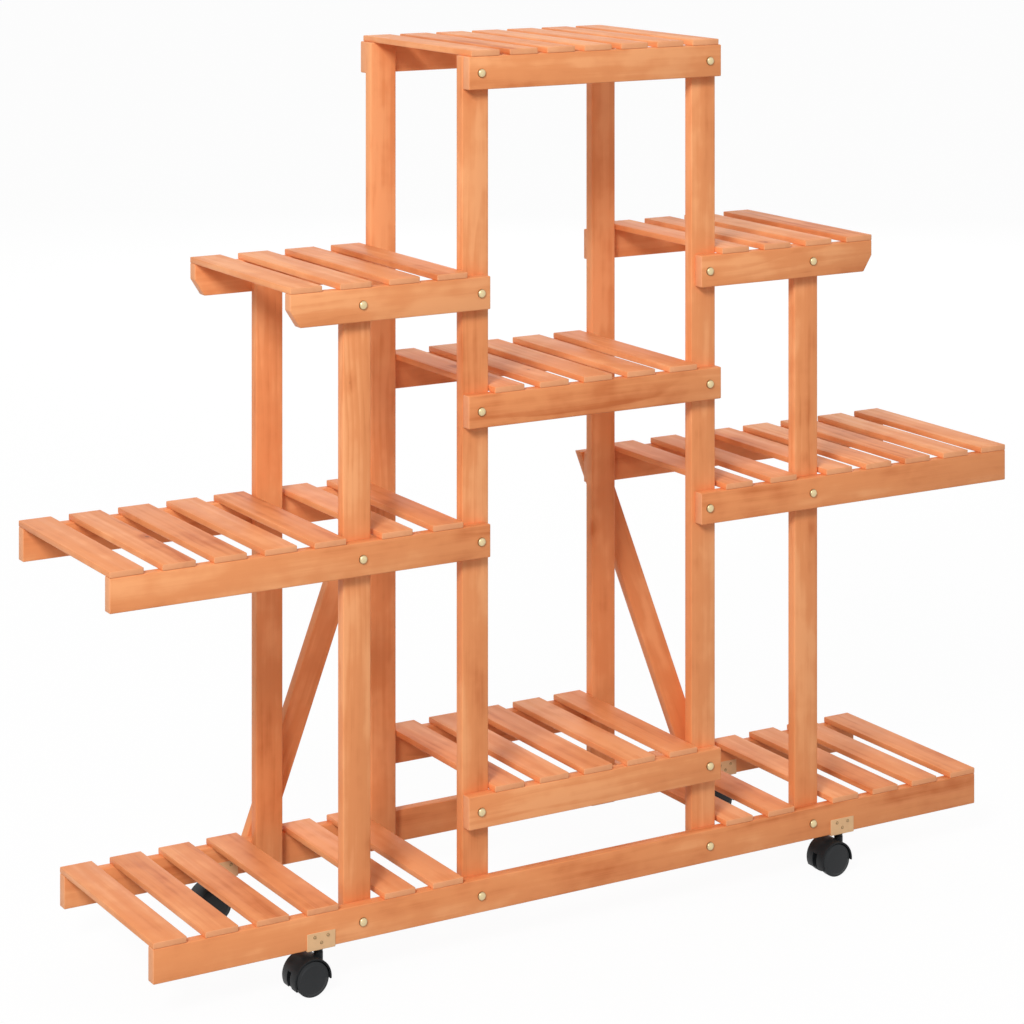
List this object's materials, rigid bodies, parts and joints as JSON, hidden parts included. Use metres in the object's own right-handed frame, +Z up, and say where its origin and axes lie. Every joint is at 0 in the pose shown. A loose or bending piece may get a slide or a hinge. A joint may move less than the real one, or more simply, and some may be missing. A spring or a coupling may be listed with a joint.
{
  "type": "flower cart stand",
  "caption": "Tiered slatted wooden plant stand on swivel casters: a tall centre tower of shelves with lower shelves stepping down on both sides of a long base.",
  "frame": {"origin": "on the floor, under the middle of the stand's outside box", "axes": "+X along the length, to the right seen from the front; -Y towards the front; +Z up"},
  "size_m": [1.2294, 0.2924, 1.0341],
  "materials": {
    "pine": "clear satin",
    "brass_bolt": "polished",
    "bracket_zinc": "satin",
    "bright_steel": "zinc plated",
    "black_hood": "satin",
    "black_wheel": "satin"
  },
  "bodies": {
    "stand": {"base_rail_back": "pine", "base_rail_front": "pine", "brace_bolts": "brass_bolt", "bracket_screws": "bracket_zinc", "caster_brackets": "bracket_zinc", "caster_stems": "bright_steel", "centre_rail_back": "pine", "centre_rail_front": "pine", "centre_shelf_slats": "pine", "frame_bolts": "brass_bolt", "left_base_shelf_slats": "pine", "left_brace": "pine", "left_centre_post_back": "pine", "left_centre_post_front": "pine", "left_mid_rail_back": "pine", "left_mid_rail_front": "pine", "left_mid_shelf_slats": "pine", "left_outer_post_back": "pine", "left_outer_post_front": "pine", "left_upper_rail_back": "pine", "left_upper_rail_front": "pine", "left_upper_shelf_slats": "pine", "low_rail_back": "pine", "low_rail_front": "pine", "low_shelf_slats": "pine", "right_base_shelf_slats": "pine", "right_brace": "pine", "right_centre_post_back": "pine", "right_centre_post_front": "pine", "right_mid_rail_back": "pine", "right_mid_rail_front": "pine", "right_mid_shelf_slats": "pine", "right_outer_post_back": "pine", "right_outer_post_front": "pine", "right_upper_rail_back": "pine", "right_upper_rail_front": "pine", "right_upper_shelf_slats": "pine", "top_rail_back": "pine", "top_rail_front": "pine", "top_shelf_slats": "pine"},
    "swivel_front_left": {"caster_hood_front_left": "black_hood", "caster_axle_front_left": "bright_steel"},
    "wheel_near_front_left": {"wheel_near_front_left": "black_wheel"},
    "wheel_far_front_left": {"wheel_far_front_left": "black_wheel"},
    "swivel_front_right": {"caster_hood_front_right": "black_hood", "caster_axle_front_right": "bright_steel"},
    "wheel_near_front_right": {"wheel_near_front_right": "black_wheel"},
    "wheel_far_front_right": {"wheel_far_front_right": "black_wheel"},
    "swivel_back_left": {"caster_hood_back_left": "black_hood", "caster_axle_back_left": "bright_steel"},
    "wheel_near_back_left": {"wheel_near_back_left": "black_wheel"},
    "wheel_far_back_left": {"wheel_far_back_left": "black_wheel"},
    "swivel_back_right": {"caster_hood_back_right": "black_hood", "caster_axle_back_right": "bright_steel"},
    "wheel_near_back_right": {"wheel_near_back_right": "black_wheel"},
    "wheel_far_back_right": {"wheel_far_back_right": "black_wheel"}
  },
  "joints": [
    {"name": "swivel_front_left", "type": "hinge", "parent": "stand", "child": "swivel_front_left", "pos_m": [-0.3632, -0.12925, 0.035], "axis": [0, 0, 1], "continuous": true},
    {"name": "roll_near_front_left", "type": "hinge", "parent": "swivel_front_left", "child": "wheel_near_front_left", "pos_m": [-0.3772, -0.12925, 0.02], "axis": [0, 1, 0], "continuous": true},
    {"name": "roll_far_front_left", "type": "hinge", "parent": "swivel_front_left", "child": "wheel_far_front_left", "pos_m": [-0.3772, -0.12925, 0.02], "axis": [0, 1, 0], "continuous": true},
    {"name": "swivel_front_right", "type": "hinge", "parent": "stand", "child": "swivel_front_right", "pos_m": [0.3548, -0.12925, 0.035], "axis": [0, 0, 1], "continuous": true},
    {"name": "roll_near_front_right", "type": "hinge", "parent": "swivel_front_right", "child": "wheel_near_front_right", "pos_m": [0.3408, -0.12925, 0.02], "axis": [0, 1, 0], "continuous": true},
    {"name": "roll_far_front_right", "type": "hinge", "parent": "swivel_front_right", "child": "wheel_far_front_right", "pos_m": [0.3408, -0.12925, 0.02], "axis": [0, 1, 0], "continuous": true},
    {"name": "swivel_back_left", "type": "hinge", "parent": "stand", "child": "swivel_back_left", "pos_m": [-0.3632, 0.12175, 0.035], "axis": [0, 0, 1], "continuous": true},
    {"name": "roll_near_back_left", "type": "hinge", "parent": "swivel_back_left", "child": "wheel_near_back_left", "pos_m": [-0.3772, 0.12175, 0.02], "axis": [0, 1, 0], "continuous": true},
    {"name": "roll_far_back_left", "type": "hinge", "parent": "swivel_back_left", "child": "wheel_far_back_left", "pos_m": [-0.3772, 0.12175, 0.02], "axis": [0, 1, 0], "continuous": true},
    {"name": "swivel_back_right", "type": "hinge", "parent": "stand", "child": "swivel_back_right", "pos_m": [0.3548, 0.12175, 0.035], "axis": [0, 0, 1], "continuous": true},
    {"name": "roll_near_back_right", "type": "hinge", "parent": "swivel_back_right", "child": "wheel_near_back_right", "pos_m": [0.3408, 0.12175, 0.02], "axis": [0, 1, 0], "continuous": true},
    {"name": "roll_far_back_right", "type": "hinge", "parent": "swivel_back_right", "child": "wheel_far_back_right", "pos_m": [0.3408, 0.12175, 0.02], "axis": [0, 1, 0], "continuous": true}
  ]
}
